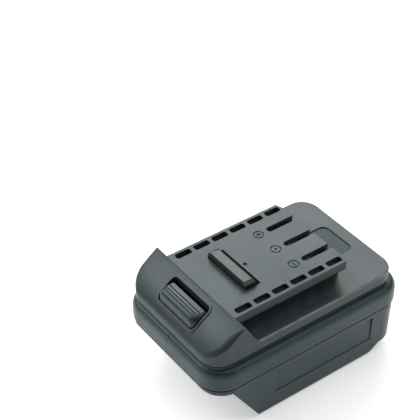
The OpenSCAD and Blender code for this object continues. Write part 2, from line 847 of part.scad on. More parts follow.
// Bracket with the two guide pins and the stop under the slide
module spring_bracket() {
    color([0.12, 0.13, 0.14])
        at_crease()
            difference() {
                union() {
                    bar(pad_x + pad_w / 2 + 0.5, guide_y - 3.6, guide_y + 3.5, pad_z, bracket_z);
                    bar(4, guide_y - 2.5, guide_y + 2.5, bracket_z - 1, slide_z - latch_travel - stop_gap);
                    for (s = [-1, 1])
                        translate([s * spring_x, guide_y, bracket_z - 1])
                            cylinder(h = slide_z + slide_t + 3 - bracket_z + 1, d = guide_d);
                }
                for (s = [-1, 1])
                    translate([s * pad_x, guide_y, pad_z - 1])
                        cylinder(h = 5, d = 2.5);
            }
}

// Two screws that hold the bracket
module bracket_screws() {
    color([0.62, 0.63, 0.65])
        at_crease()
            for (s = [-1, 1])
                translate([s * pad_x, guide_y, bracket_z])
                    screw_down(2, wall + 3, 4, 1.4);
}

// Three screws that close the two shells, put in from the left
module housing_screws() {
    color([0.62, 0.63, 0.65])
        at_crease()
            for (p = SCREWS)
                translate([-screw_seat, p[0], p[1]])
                    rotate([0, -90, 0])
                        screw_down(screw_d, screw_l, screw_head, screw_cap);
}

top_cover();
shell_left();
shell_right();
terminal_block();
insulator_pad();
blade_positive();
blade_negative();
clip_carrier();
clip_positive();
clip_signal();
clip_negative();
carrier_screws();
circuit_board();
capacitor();
power_switch();
control_chip();
board_screws();
lead_positive();
lead_negative();
lead_signal();
latch_slide();
release_button();
latch_hook();
latch_spring_left();
latch_spring_right();
spring_bracket();
bracket_screws();
housing_screws();
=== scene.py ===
from math import cos, hypot, pi, radians, sin, sqrt

import bmesh
import bpy
from mathutils import Matrix, Vector


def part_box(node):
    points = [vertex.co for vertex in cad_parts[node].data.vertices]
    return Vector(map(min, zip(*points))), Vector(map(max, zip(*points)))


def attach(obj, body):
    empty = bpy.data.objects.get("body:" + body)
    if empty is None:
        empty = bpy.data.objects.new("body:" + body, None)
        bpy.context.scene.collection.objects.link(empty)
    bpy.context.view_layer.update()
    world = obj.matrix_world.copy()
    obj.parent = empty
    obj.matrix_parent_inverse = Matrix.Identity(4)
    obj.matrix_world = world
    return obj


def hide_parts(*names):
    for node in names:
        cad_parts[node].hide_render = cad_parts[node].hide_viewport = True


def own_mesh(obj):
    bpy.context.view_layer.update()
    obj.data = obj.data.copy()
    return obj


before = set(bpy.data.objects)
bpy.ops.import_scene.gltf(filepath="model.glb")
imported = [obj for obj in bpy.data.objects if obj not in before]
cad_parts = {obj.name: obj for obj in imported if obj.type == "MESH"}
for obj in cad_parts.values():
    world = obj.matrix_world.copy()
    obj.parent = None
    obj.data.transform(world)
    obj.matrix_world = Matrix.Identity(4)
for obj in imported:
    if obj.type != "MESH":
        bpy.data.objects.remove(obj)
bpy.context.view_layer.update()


# Lower shells: two mouldings of black glass-filled nylon that meet on the centre line and
# carry the battery pack between their rail lips. Three screws from the left close them.
# The mould is spark eroded: satin grain and slightly round edges. Up under the cover the shells are painted
# near black and matt, as painted shade in the gap.

def add(tree, kind, inputs=None, **settings):
    """Adds one node; each input takes a value or the output socket it is fed from."""
    made = tree.nodes.new(kind)
    for name, value in settings.items():
        setattr(made, name, value)
    for name, value in (inputs or {}).items():
        if isinstance(value, bpy.types.NodeSocket):
            tree.links.new(value, made.inputs[name])
        else:
            made.inputs[name].default_value = value
    return made


def new_material(name):
    """An empty node material and its tree."""
    made = bpy.data.materials.new(name)
    made.use_nodes = True
    made.node_tree.nodes.clear()
    return made, made.node_tree


def shades(tree, factor, stops):
    """A colour ramp over the given (position, colour) stops."""
    made = add(tree, "ShaderNodeValToRGB", {"Fac": factor})
    elements = made.color_ramp.elements
    while len(elements) < len(stops):
        elements.new(0.5)
    for element, (position, colour) in zip(elements, stops):
        element.position = position
        element.color = (*colour, 1.0)
    return made.outputs["Color"]


def span(tree, value, low, high, to_low=0.0, to_high=1.0):
    """A value carried from one range to another, and held at its ends."""
    return add(tree, "ShaderNodeMapRange", {
        "Value": value, "From Min": low, "From Max": high, "To Min": to_low, "To Max": to_high}).outputs[0]


def mixed(tree, factor, first, second):
    """A blend of two colours."""
    return add(tree, "ShaderNodeMix", {"Factor": factor, 6: first, 7: second}, data_type="RGBA").outputs[2]


def worked(tree, operation, *values):
    """The result of one sum over values or sockets."""
    return add(tree, "ShaderNodeMath", dict(enumerate(values)), operation=operation).outputs[0]


def times(tree, value, share):
    """A value times a fixed share."""
    return worked(tree, "MULTIPLY", value, share)


def toned(colour, share):
    """A colour made lighter or darker."""
    return [channel * share for channel in colour]


def moulded(name, colour, roughness, grain_mm=0.8, depth_mm=0.07, edge_mm=0.4, edge_wear_and_highlight=2.2,
            sheen=(0.92, 1.0, 1.0)):
    """Moulded plastic: cloudy tone, spark-eroded grain, and outer edges painted lighter, partly as wear and
    partly as a painted highlight.
    """
    made, tree = new_material(name)
    place = add(tree, "ShaderNodeTexCoord").outputs["Object"]
    cloud = add(tree, "ShaderNodeTexNoise", {"Vector": place, "Scale": 38.0, "Detail": 4.0}).outputs["Fac"]
    grain = add(tree, "ShaderNodeTexNoise", {
        "Vector": place, "Scale": 1000.0 / grain_mm, "Detail": 3.0, "Roughness": 0.6}).outputs["Fac"]
    rounded = add(tree, "ShaderNodeBevel", {"Radius": edge_mm / 1000}, samples=6).outputs[0]
    buried = add(tree, "ShaderNodeAmbientOcclusion", {
        "Distance": edge_mm / 1000}, samples=8, inside=True).outputs["AO"]
    tone = shades(tree, cloud, [(0.3, toned(colour, 0.88)), (0.7, toned(colour, 1.12))])
    speck = shades(tree, grain, [(0.35, toned(colour, 0.5)), (0.65, toned(colour, 1.5))])
    # Outer edges, found by occlusion inside the solid, are painted lighter: partly wear, partly a painted
    # highlight.
    skin = mixed(tree, span(tree, buried, 0.95, 0.55), mixed(tree, 0.5, tone, speck),
                 (*toned(colour, edge_wear_and_highlight), 1.0))
    gloss = span(tree, cloud, 0.3, 0.7, roughness - 0.05, roughness + 0.05)
    bump = add(tree, "ShaderNodeBump", {
        "Strength": 0.8, "Distance": depth_mm / 1000, "Height": grain, "Normal": rounded})
    surface = add(tree, "ShaderNodeBsdfPrincipled", {
        "Base Color": skin, "Roughness": gloss, "Normal": bump.outputs[0], "IOR": 1.46,
        "Specular Tint": (*sheen, 1.0)})
    add(tree, "ShaderNodeOutputMaterial", {"Surface": surface.outputs[0]})
    return made


def repaint(material, where, tone):
    """Lays another colour over a finished plastic, as far as a mask says."""
    tree = material.node_tree
    colour = tree.nodes["Principled BSDF"].inputs["Base Color"]
    tree.links.new(mixed(tree, where, colour.links[0].from_socket, (*tone, 1.0)), colour)


def dull(material, where, amount):
    """Makes a finished plastic rougher where a mask says."""
    tree = material.node_tree
    gloss = tree.nodes["Principled BSDF"].inputs["Roughness"]
    tree.links.new(worked(tree, "ADD", gloss.links[0].from_socket, times(tree, where, amount)), gloss)


def finish_node(node, material):
    """Gives a CAD node its material."""
    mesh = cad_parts[node].data
    mesh.materials.clear()
    mesh.materials.append(material)


housing_plastic = moulded("housing_plastic", (0.020, 0.034, 0.037), 0.40, sheen=(0.78, 0.985, 1.0))
# Painted shade: above this height, in the gap under the cover, the shells are painted near black and dulled.
gap_shade_z = 0.04526
tree = housing_plastic.node_tree
place = add(tree, "ShaderNodeTexCoord").outputs["Object"]
height = add(tree, "ShaderNodeSeparateXYZ", {"Vector": place}).outputs["Z"]
painted_gap_shade = worked(tree, "GREATER_THAN", height, gap_shade_z)
repaint(housing_plastic, painted_gap_shade, (0.004, 0.005, 0.005))
dull(housing_plastic, painted_gap_shade, 0.5)
for half in ("shell_left", "shell_right"):
    finish_node(half, housing_plastic)


# Seam tongues: ribs on the edge of the left shell that reach across the seam to the right one, in
# the front wall and in the rear wall. They are moulded with the shell and keep light and dust out.

def at(x, y, z):
    """A place given in millimetres from the crease above the ramp, in metres from the middle of the body."""
    crease_y = -40.7
    return (x / 1000, (y + crease_y) / 1000, z / 1000)


def closed_form(name, shape):
    """A mesh object from a closed shape, with its faces turned outward."""
    bmesh.ops.recalc_face_normals(shape, faces=shape.faces)
    mesh = bpy.data.meshes.new(name)
    shape.to_mesh(mesh)
    shape.free()
    made = bpy.data.objects.new(name, mesh)
    bpy.context.scene.collection.objects.link(made)
    return made


seam_mm, rooted_mm, clear_mm = 0.24, 0.3, 0.002
front_rib = [(-17.3, 29.0), (-18.4, 29.2), (-18.6, 29.8), (-18.6, 32.2), (-20.0, 32.8), (-20.1, 38.8),
             (-19.85, 40.2), (-19.35, 41.4), (-18.7, 42.1), (-17.3, 42.4)]
rear_rib = [(95.2, 7.4), (99.4, 7.7), (99.9, 8.2), (100.7, 29.6), (100.0, 30.2), (100.0, 32.2),
            (101.4, 32.8), (101.5, 38.8), (101.2, 40.2), (100.7, 41.4), (100.1, 42.0), (96.0, 42.0),
            (96.0, 29.4), (90.4, 29.4), (90.4, 10.2), (95.2, 10.2)]
ribs = bmesh.new()
for outline in (front_rib, rear_rib):
    rooted = [ribs.verts.new(at(-seam_mm / 2 - rooted_mm, y, z)) for y, z in outline]
    reaching = [ribs.verts.new(at(seam_mm / 2 - clear_mm, y, z)) for y, z in outline]
    ribs.faces.new(rooted)
    ribs.faces.new(reaching)
    for k in range(len(outline)):
        ribs.faces.new((rooted[k - 1], rooted[k], reaching[k], reaching[k - 1]))
tongues = closed_form("seam_tongues", ribs)
tongues.data.materials.append(housing_plastic)
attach(tongues, "housing")


# Terminal block: a frame of black insulating plastic let into the bay floor, with a rear bar,
# posts and a tongue. It is moulded in one piece and its flange lies on the floor inside.

block_plastic = moulded("block_plastic", (0.015, 0.022, 0.024), 0.42, grain_mm=0.6)
finish_node("terminal_block", block_plastic)


# Insulating sheet: a thin grey fibre sheet glued on the flat of the terminal block.
# It is cut from a roll, so its face shows short pressed fibres.

sheet = moulded("sheet", (0.042, 0.056, 0.060), 0.58, grain_mm=0.8, depth_mm=0.01, edge_mm=0.1)
finish_node("insulator_pad", sheet)


# Blade contacts: two tinned strips, stamped and pressed into the terminal block, whose tails
# go through the floor to the leads. The stamping leaves fine lines along the strip.

def drawn_metal(name, colour, roughness, along, stretch=40.0, lines_per_m=1800.0):
    """Metal with fine lines along one axis and slightly dull patches."""
    made, tree = new_material(name)
    place = add(tree, "ShaderNodeTexCoord").outputs["Object"]
    squeeze = [1.0, 1.0, 1.0]
    squeeze[along] = 1.0 / stretch
    drawn = add(tree, "ShaderNodeMapping", {"Vector": place, "Scale": squeeze}).outputs[0]
    lines = add(tree, "ShaderNodeTexNoise", {
        "Vector": drawn, "Scale": lines_per_m, "Detail": 3.0}).outputs["Fac"]
    patches = add(tree, "ShaderNodeTexNoise", {"Vector": place, "Scale": 220.0, "Detail": 4.0}).outputs["Fac"]
    bump = add(tree, "ShaderNodeBump", {"Strength": 0.35, "Distance": 0.00001, "Height": lines})
    surface = add(tree, "ShaderNodeBsdfPrincipled", {
        "Base Color": shades(tree, patches, [(0.35, toned(colour, 0.78)), (0.65, colour)]), "Metallic": 1.0,
        "Roughness": span(tree, lines, 0.3, 0.7, roughness - 0.07, roughness + 0.09),
        "Normal": bump.outputs[0]})
    add(tree, "ShaderNodeOutputMaterial", {"Surface": surface.outputs[0]})
    return made


contact_plate = drawn_metal("contact_plate", (0.80, 0.79, 0.76), 0.30, along=1)
for blade in ("blade_positive", "blade_negative"):
    finish_node(blade, contact_plate)


# Circuit board: a green glass-fibre board above the terminal block. Copper tracks show as paler
# lines under the lacquer, and the weave of the glass as a fine check.

def lacquered_board(name, lacquer, track, weave_mm=1.5):
    """Green lacquer over copper tracks that run square to each other."""
    made, tree = new_material(name)
    place = add(tree, "ShaderNodeTexCoord").outputs["Object"]
    cells = add(tree, "ShaderNodeTexVoronoi", {"Vector": place, "Scale": 240.0, "Randomness": 0.75},
                distance="CHEBYCHEV", feature="F1")
    tracks = span(tree, cells.outputs["Distance"], 0.42, 0.46)
    weave = add(tree, "ShaderNodeTexChecker", {"Vector": place, "Scale": 1000.0 / weave_mm}).outputs["Fac"]
    glass = shades(tree, weave, [(0.0, lacquer), (1.0, toned(lacquer, 1.18))])
    bump = add(tree, "ShaderNodeBump", {"Strength": 0.5, "Distance": 0.00004, "Height": tracks})
    surface = add(tree, "ShaderNodeBsdfPrincipled", {
        "Base Color": mixed(tree, tracks, glass, (*track, 1.0)),
        "Roughness": span(tree, tracks, 0.0, 1.0, 0.42, 0.30), "Normal": bump.outputs[0]})
    add(tree, "ShaderNodeOutputMaterial", {"Surface": surface.outputs[0]})
    return made


board = lacquered_board("board", (0.010, 0.085, 0.035), (0.030, 0.170, 0.070))
finish_node("circuit_board", board)


# Power switch and control chip: black epoxy packages soldered on the board. The switch has a
# tinned tab and legs at its ends, and the chip has short tinned legs along two sides.

def epoxy_package(name, colour, low, high, axis, metal=(0.70, 0.69, 0.66)):
    """Matt epoxy between two places along an axis, and tinned metal outside them."""
    made, tree = new_material(name)
    place = add(tree, "ShaderNodeTexCoord").outputs["Object"]
    along = add(tree, "ShaderNodeSeparateXYZ", {"Vector": place}).outputs[axis]
    grain = add(tree, "ShaderNodeTexNoise", {"Vector": place, "Scale": 2600.0, "Detail": 3.0}).outputs["Fac"]
    before = worked(tree, "LESS_THAN", along, low)
    after = worked(tree, "GREATER_THAN", along, high)
    bare = worked(tree, "MAXIMUM", before, after)
    resin = shades(tree, grain, [(0.35, toned(colour, 0.7)), (0.65, toned(colour, 1.3))])
    tin = shades(tree, grain, [(0.3, toned(metal, 0.8)), (0.7, metal)])
    bump = add(tree, "ShaderNodeBump", {"Strength": 0.4, "Distance": 0.000012, "Height": grain})
    surface = add(tree, "ShaderNodeBsdfPrincipled", {
        "Base Color": mixed(tree, bare, resin, tin), "Metallic": bare,
        "Roughness": span(tree, bare, 0.0, 1.0, 0.55, 0.32), "Normal": bump.outputs[0]})
    add(tree, "ShaderNodeOutputMaterial", {"Surface": surface.outputs[0]})
    return made


switch_tab, switch_legs, chip_legs = 0.0040, 0.0030, 0.0009
switch_low, switch_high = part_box("power_switch")
finish_node("power_switch", epoxy_package(
    "switch_epoxy", (0.022, 0.022, 0.024), switch_low.y + switch_tab, switch_high.y - switch_legs, "Y"))
chip_low, chip_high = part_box("control_chip")
finish_node("control_chip", epoxy_package(
    "chip_epoxy", (0.020, 0.020, 0.022), chip_low.y + chip_legs, chip_high.y - chip_legs, "Y"))


# Capacitor: an aluminium can in a dark blue shrink sleeve with a pale stripe down the negative
# side. The sleeve stops at the rim, so the top of the can is bare.

def sleeved_can(name, centre, rim_z, sleeve, stripe, can):
    """Shrink sleeve with one stripe, and the bare can above the rim."""
    made, tree = new_material(name)
    place = add(tree, "ShaderNodeTexCoord").outputs["Object"]
    on_axis = add(tree, "ShaderNodeMapping", {"Vector": place, "Location": [-c for c in centre]}).outputs[0]
    parts = add(tree, "ShaderNodeSeparateXYZ", {"Vector": on_axis})
    around = worked(tree, "ARCTAN2", parts.outputs["Y"], parts.outputs["X"])
    stripe_turn, stripe_half = -1.3, 0.35
    striped = worked(tree, "COMPARE", around, stripe_turn, stripe_half)
    bare = worked(tree, "GREATER_THAN", parts.outputs["Z"], rim_z - centre[2])
    mottle = add(tree, "ShaderNodeTexNoise", {"Vector": place, "Scale": 900.0, "Detail": 4.0}).outputs["Fac"]
    blue = shades(tree, mottle, [(0.3, toned(sleeve, 0.85)), (0.7, toned(sleeve, 1.15))])
    silver = shades(tree, mottle, [(0.3, toned(can, 0.85)), (0.7, can)])
    film = mixed(tree, striped, blue, (*stripe, 1.0))
    bump = add(tree, "ShaderNodeBump", {"Strength": 0.2, "Distance": 0.00002, "Height": mottle})
    surface = add(tree, "ShaderNodeBsdfPrincipled", {
        "Base Color": mixed(tree, bare, film, silver), "Metallic": bare,
        "Roughness": span(tree, mottle, 0.3, 0.7, 0.26, 0.38), "Normal": bump.outputs[0]})
    add(tree, "ShaderNodeOutputMaterial", {"Surface": surface.outputs[0]})
    return made


bare_top = 0.0003
can_low, can_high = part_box("capacitor")
capacitor_sleeve = sleeved_can(
    "capacitor_sleeve", (can_low + can_high) / 2, can_high.z - bare_top,
    (0.016, 0.022, 0.075), (0.42, 0.46, 0.55), (0.76, 0.77, 0.78))
finish_node("capacitor", capacitor_sleeve)


# Inner screws: pan-head thread-forming screws of zinc-plated steel with a cross recess. Four hold
# the board, two the spring bracket and two, put in from below, the carrier of the clips.

def open_tree(name, sizes):
    """A geometry tree with a mesh in and out and one named input for each size."""
    tree = bpy.data.node_groups.new(name, "GeometryNodeTree")
    tree.interface.new_socket("Mesh", in_out="INPUT", socket_type="NodeSocketGeometry")
    for size, kind in sizes.items():
        tree.interface.new_socket(size, in_out="INPUT", socket_type="NodeSocket" + kind)
    tree.interface.new_socket("Mesh", in_out="OUTPUT", socket_type="NodeSocketGeometry")
    return tree, tree.nodes.new("NodeGroupInput").outputs


def close_tree(tree, geometry, material):
    """Ends a geometry tree in plain geometry with its material."""
    plain = add(tree, "GeometryNodeRealizeInstances", {"Geometry": geometry}).outputs[0]
    painted = add(tree, "GeometryNodeSetMaterial", {"Geometry": plain, "Material": material}).outputs[0]
    tree.links.new(painted, tree.nodes.new("NodeGroupOutput").inputs[0])


def up(tree, height):
    """A vector along Z."""
    return add(tree, "ShaderNodeCombineXYZ", {"Z": height}).outputs[0]


def moved(tree, geometry, place):
    """Geometry carried to a place."""
    return add(tree, "GeometryNodeTransform", {"Geometry": geometry, "Translation": place}).outputs[0]


screw_tree, size = open_tree("cross_screw", {
    "Shank": "Float", "Length": "Float", "Head": "Float", "Cap": "Float", "Turn": "Vector",
    "Finish": "Material"})
core = times(screw_tree, size["Shank"], 0.41)
reach = times(screw_tree, size["Length"], -1.0)
rim = times(screw_tree, size["Head"], 0.5)
drum_h = times(screw_tree, size["Cap"], 0.55)
shank = add(screw_tree, "GeometryNodeMeshCylinder", {
    "Vertices": 24, "Radius": core, "Depth": size["Length"]}).outputs["Mesh"]
drum = add(screw_tree, "GeometryNodeMeshCone", {
    "Vertices": 32, "Radius Top": rim, "Radius Bottom": rim, "Depth": drum_h}).outputs["Mesh"]
crown = add(screw_tree, "GeometryNodeMeshCone", {
    "Vertices": 32, "Radius Top": times(screw_tree, rim, 0.66), "Radius Bottom": rim,
    "Depth": times(screw_tree, size["Cap"], 0.45)}).outputs["Mesh"]
blank = add(screw_tree, "GeometryNodeMeshBoolean", operation="UNION")
for solid in (moved(screw_tree, shank, up(screw_tree, times(screw_tree, size["Length"], -0.49))),
              drum, moved(screw_tree, crown, up(screw_tree, drum_h))):
    screw_tree.links.new(solid, blank.inputs["Mesh 2"])
recess = add(screw_tree, "GeometryNodeMeshBoolean", {"Mesh 1": blank.outputs["Mesh"]}, operation="DIFFERENCE")
slot_l = times(screw_tree, size["Head"], 0.62)
slot_w = times(screw_tree, size["Head"], 0.15)
for wide, deep in ((slot_l, slot_w), (slot_w, slot_l)):
    arm = add(screw_tree, "GeometryNodeMeshCube", {"Size": add(screw_tree, "ShaderNodeCombineXYZ", {
        "X": wide, "Y": deep, "Z": size["Cap"]}).outputs[0]}).outputs["Mesh"]
    screw_tree.links.new(moved(screw_tree, arm, up(screw_tree, size["Cap"])), recess.inputs["Mesh 2"])
ridge_path = add(screw_tree, "GeometryNodeCurveSpiral", {
    "Resolution": 20, "Rotations": 9.0, "Start Radius": core, "End Radius": core,
    "Height": times(screw_tree, reach, 0.94)}).outputs[0]
ridge_form = add(screw_tree, "GeometryNodeCurvePrimitiveCircle", {
    "Resolution": 4, "Radius": times(screw_tree, size["Shank"], 0.09)}, mode="RADIUS").outputs["Curve"]
ridge = add(screw_tree, "GeometryNodeCurveToMesh", {
    "Curve": ridge_path, "Profile Curve": ridge_form, "Fill Caps": True}).outputs[0]
whole = add(screw_tree, "GeometryNodeJoinGeometry")
for solid in (recess.outputs["Mesh"], ridge):
    screw_tree.links.new(solid, whole.inputs[0])
set_screws = add(screw_tree, "GeometryNodeInstanceOnPoints", {
    "Points": size["Mesh"], "Instance": whole.outputs[0], "Rotation": size["Turn"]}).outputs[0]
close_tree(screw_tree, set_screws, size["Finish"])


def grown(name, tree, points, edges=(), **sizes):
    """One plain mesh object that a geometry tree makes from a few points."""
    start = bpy.data.meshes.new(name + "_points")
    start.from_pydata(points, edges, [])
    made = bpy.data.objects.new(name, start)
    bpy.context.scene.collection.objects.link(made)
    grower = made.modifiers.new("grow", "NODES")
    grower.node_group = tree
    for socket in tree.interface.items_tree:
        if socket.in_out == "INPUT" and socket.name in sizes:
            grower[socket.identifier] = sizes[socket.name]
    shaped = made.evaluated_get(bpy.context.evaluated_depsgraph_get())
    mesh = bpy.data.meshes.new_from_object(shaped)
    made.modifiers.remove(grower)
    made.data = mesh
    bpy.data.meshes.remove(start)
    mesh.name = name
    return made


def stands_for(piece, node, body="housing"):
    """A finished piece takes the place of a CAD node on its body."""
    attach(piece, body)
    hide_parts(node)


steel = drawn_metal("steel", (0.58, 0.59, 0.60), 0.34, along=2)
head_down = (pi, 0.0, 0.0)
for name, places, shank_mm, length_mm, head_mm, cap_mm, turn in (
        ("board_screws", [at(x, y, 38.9) for x in (-15.5, 15.5) for y in (34.0, 57.0)],
         2.0, 6.1, 3.8, 1.4, (0.0, 0.0, 0.0)),
        ("bracket_screws", [at(x, 10.1, 36.8) for x in (-20.0, 20.0)], 2.0, 5.5, 4.0, 1.4, (0.0, 0.0, 0.0)),
        ("carrier_screws", [at(x, 57.0, 53.0) for x in (-7.1, 7.1)], 2.5, 7.2, 4.5, 1.6, head_down)):
    screws = grown(name + "_set", screw_tree, places, Shank=shank_mm / 1000, Length=length_mm / 1000,
                   Head=head_mm / 1000, Cap=cap_mm / 1000, Turn=turn, Finish=steel)
    stands_for(screws, name)


# Clip carrier and spring clips: a black plate under the head holds three folded clips of tinned
# spring bronze, which grip the blades of the tool. Their tails go down through the plate.

finish_node("clip_carrier", block_plastic)
spring_bronze = drawn_metal("spring_bronze", (0.34, 0.30, 0.24), 0.38, along=1)
for clip in ("clip_positive", "clip_signal", "clip_negative"):
    finish_node(clip, spring_bronze)


# Leads: stranded copper wire in soft PVC, soldered to the blade tails or the board at the foot
# and to the clip tails at the top. The solder wets the last millimetre of each end.

lead_tree, size = open_tree("lead_tube", {"Diameter": "Float", "Finish": "Material"})
lead_path = add(lead_tree, "GeometryNodeMeshToCurve", {"Mesh": size["Mesh"]}).outputs[0]
lead_form = add(lead_tree, "GeometryNodeCurvePrimitiveCircle", {
    "Resolution": 20, "Radius": times(lead_tree, size["Diameter"], 0.5)}, mode="RADIUS").outputs["Curve"]
lead_skin = add(lead_tree, "GeometryNodeCurveToMesh", {
    "Curve": lead_path, "Profile Curve": lead_form, "Fill Caps": True}).outputs[0]
close_tree(lead_tree, lead_skin, size["Finish"])


def insulated(name, colour, low_z, high_z):
    """Soft coloured insulation with soldered ends."""
    made, tree = new_material(name)
    place = add(tree, "ShaderNodeTexCoord").outputs["Object"]
    height = add(tree, "ShaderNodeSeparateXYZ", {"Vector": place}).outputs["Z"]
    dust = add(tree, "ShaderNodeTexNoise", {"Vector": place, "Scale": 700.0, "Detail": 4.0}).outputs["Fac"]
    below = worked(tree, "LESS_THAN", height, low_z)
    above = worked(tree, "GREATER_THAN", height, high_z)
    solder = worked(tree, "MAXIMUM", below, above)
    skin = shades(tree, dust, [(0.3, toned(colour, 0.85)), (0.7, toned(colour, 1.15))])
    bump = add(tree, "ShaderNodeBump", {"Strength": 0.25, "Distance": 0.00003, "Height": dust})
    surface = add(tree, "ShaderNodeBsdfPrincipled", {
        "Base Color": mixed(tree, solder, skin, (0.62, 0.62, 0.63, 1.0)), "Metallic": solder,
        "Roughness": span(tree, dust, 0.3, 0.7, 0.36, 0.48), "Normal": bump.outputs[0]})
    add(tree, "ShaderNodeOutputMaterial", {"Surface": surface.outputs[0]})
    return made


def lead_points(foot, end, count=28):
    """Points of a lead that leaves its foot upright, bends over and ends upright."""
    foot, end = Vector(foot), Vector(end)
    run = end - foot
    rise = run.z
    run.z = 0.0
    points = []
    for step in range(count + 1):
        t = step / count
        e = 1.0 - t
        across = 3 * e * t * t + t * t * t
        height = rise * (2.25 * e * e * t + 0.75 * e * t * t + t * t * t)
        points.append(foot + run * across + Vector((0.0, 0.0, height)))
    return points


soldered = 0.001
for name, slot, colour, foot, end in (
        ("lead_positive", "lead_red", (0.36, 0.016, 0.012), at(-21, 48, 35.8), at(-14.2, 59, 50)),
        ("lead_negative", "lead_black", (0.016, 0.016, 0.018), at(21, 48, 35.8), at(14.2, 59, 50)),
        ("lead_signal", "lead_yellow", (0.58, 0.40, 0.015), at(0, 56, 38.9), at(0, 59, 50))):
    route = lead_points(foot, end)
    lead = grown(name + "_wire", lead_tree, route, [(i, i + 1) for i in range(len(route) - 1)],
                 Diameter=0.0026, Finish=insulated(slot, colour, foot[2] + soldered, end[2] - soldered))
    lead.data.shade_smooth()
    stands_for(lead, name)


# Spring bracket: a black moulded strip with two guide pins and a stop, screwed to two posts
# above the latch pocket.

finish_node("spring_bracket", block_plastic)


# Latch springs: two coils of spring steel wire with closed ends, one on each guide pin. They push
# the slide up and go together as the button is pressed; here they are drawn at rest only.

spring_tree, size = open_tree("closed_coil", {
    "Turns": "Float", "Coil": "Float", "Wire": "Float", "Height": "Float", "Finish": "Material"})
winding = add(spring_tree, "GeometryNodeCurveSpiral", {
    "Resolution": 28, "Rotations": size["Turns"], "Start Radius": times(spring_tree, size["Coil"], 0.5),
    "End Radius": times(spring_tree, size["Coil"], 0.5), "Height": 0.0}).outputs[0]
along = add(spring_tree, "GeometryNodeSplineParameter").outputs["Factor"]
end_share = worked(spring_tree, "DIVIDE", 1.0, size["Turns"])
far_share = worked(spring_tree, "SUBTRACT", 1.0, end_share)
open_h = worked(spring_tree, "SUBTRACT", size["Height"], times(spring_tree, size["Wire"], 2.0))
first_turn = span(spring_tree, along, 0.0, end_share, 0.0, size["Wire"])
open_turns = span(spring_tree, along, end_share, far_share, 0.0, open_h)
last_turn = span(spring_tree, along, far_share, 1.0, 0.0, size["Wire"])
climb = worked(spring_tree, "ADD", first_turn, open_turns)
climb = worked(spring_tree, "ADD", climb, last_turn)
coil = add(spring_tree, "GeometryNodeSetPosition", {
    "Geometry": winding, "Offset": up(spring_tree, climb)}).outputs[0]
wire_form = add(spring_tree, "GeometryNodeCurvePrimitiveCircle", {
    "Resolution": 12, "Radius": times(spring_tree, size["Wire"], 0.5)}, mode="RADIUS").outputs["Curve"]
wire = add(spring_tree, "GeometryNodeCurveToMesh", {
    "Curve": coil, "Profile Curve": wire_form, "Fill Caps": True}).outputs[0]
on_pin = add(spring_tree, "GeometryNodeInstanceOnPoints", {
    "Points": size["Mesh"], "Instance": wire}).outputs[0]
close_tree(spring_tree, on_pin, size["Finish"])

spring_steel = drawn_metal("spring_steel", (0.50, 0.51, 0.53), 0.26, along=0, stretch=1.0)
bracket_z, slide_z, wire_mm, play_mm, press_mm = 36.8, 48.7, 0.7, 0.05, 4.2
room_mm = slide_z - bracket_z
for name, x in (("latch_spring_left", -10.0), ("latch_spring_right", 10.0)):
    spring = grown(name + "_coil", spring_tree, [at(x, 10.1, bracket_z + wire_mm / 2 + play_mm)],
                   Turns=6.0, Coil=0.0055, Wire=wire_mm / 1000,
                   Height=(room_mm - wire_mm - 2 * play_mm) / 1000, Finish=spring_steel)
    spring.data.shade_smooth()
    stands_for(spring, name)
    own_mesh(spring)


# Slide, release button and hook: one sprung latch of black acetal, a little smoother than the
# housing. The button and the hook stand on the slide and come out through the cover.

finish_node("latch_slide", block_plastic)
latch_plastic = moulded("latch_plastic", (0.018, 0.031, 0.033), 0.36, grain_mm=0.6)
finish_node("latch_hook", moulded("hook_plastic", (0.013, 0.019, 0.020), 0.34, grain_mm=0.6, edge_mm=0.15))


def merged_copy(node, name, material):
    """A copy of a CAD node with its corners merged and its own material."""
    skin = bmesh.new()
    skin.from_mesh(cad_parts[node].data)
    bmesh.ops.remove_doubles(skin, verts=skin.verts, dist=0.000002)
    mesh = bpy.data.meshes.new(name)
    skin.to_mesh(mesh)
    skin.free()
    for layer in [a for a in mesh.attributes if a.name == "custom_normal"]:
        mesh.attributes.remove(layer)
    mesh.materials.clear()
    mesh.materials.append(material)
    made = bpy.data.objects.new(name, mesh)
    bpy.context.scene.collection.objects.link(made)
    return made


def cut_to(piece, envelope, sharp_angle):
    """Keeps what lies inside the envelope, with smooth shading up to an angle."""
    envelope.data.materials.append(piece.data.materials[0])
    cut = piece.modifiers.new("cut", "BOOLEAN")
    cut.operation = "INTERSECT"
    cut.solver = "EXACT"
    cut.object = envelope
    mesh = bpy.data.meshes.new_from_object(piece.evaluated_get(bpy.context.evaluated_depsgraph_get()))
    piece.modifiers.remove(cut)
    piece.data = mesh
    bpy.data.objects.remove(envelope)
    mesh.shade_smooth()
    mesh.set_sharp_from_angle(angle=sharp_angle)


def rounded_pad(name, half_w, front_y, back_y, low_z, high_z, corner, roll_w, roll_d, end_w):
    """A block with round front corners whose upper edge rolls over at the front and the ends."""
    shape = bmesh.new()
    skin = 0.02
    turns = [radians(90 * step / 12) for step in range(13)]
    levels = [(0.0, 0.0, low_z)]
    for turn in turns:
        levels.append((roll_w * (1 - cos(turn)), end_w * (1 - cos(turn)), high_z - roll_d * (1 - sin(turn))))
    rings = []
    for front_in, end_in, z in levels:
        x = half_w + skin - end_in
        y = front_y - skin + front_in
        path = [(x, back_y)]
        path += [(x - corner + corner * cos(turn), y + corner - corner * sin(turn)) for turn in turns]
        path += [(-px, py) for px, py in path[::-1]]
        rings.append([shape.verts.new(at(px, py, z + skin)) for px, py in path])
    for before, after in zip(rings, rings[1:]):
        for k in range(len(before)):
            nxt = (k + 1) % len(before)
            shape.faces.new((before[k], before[nxt], after[nxt], after[k]))
    shape.faces.new(rings[0])
    shape.faces.new(rings[-1])
    return closed_form(name, shape)


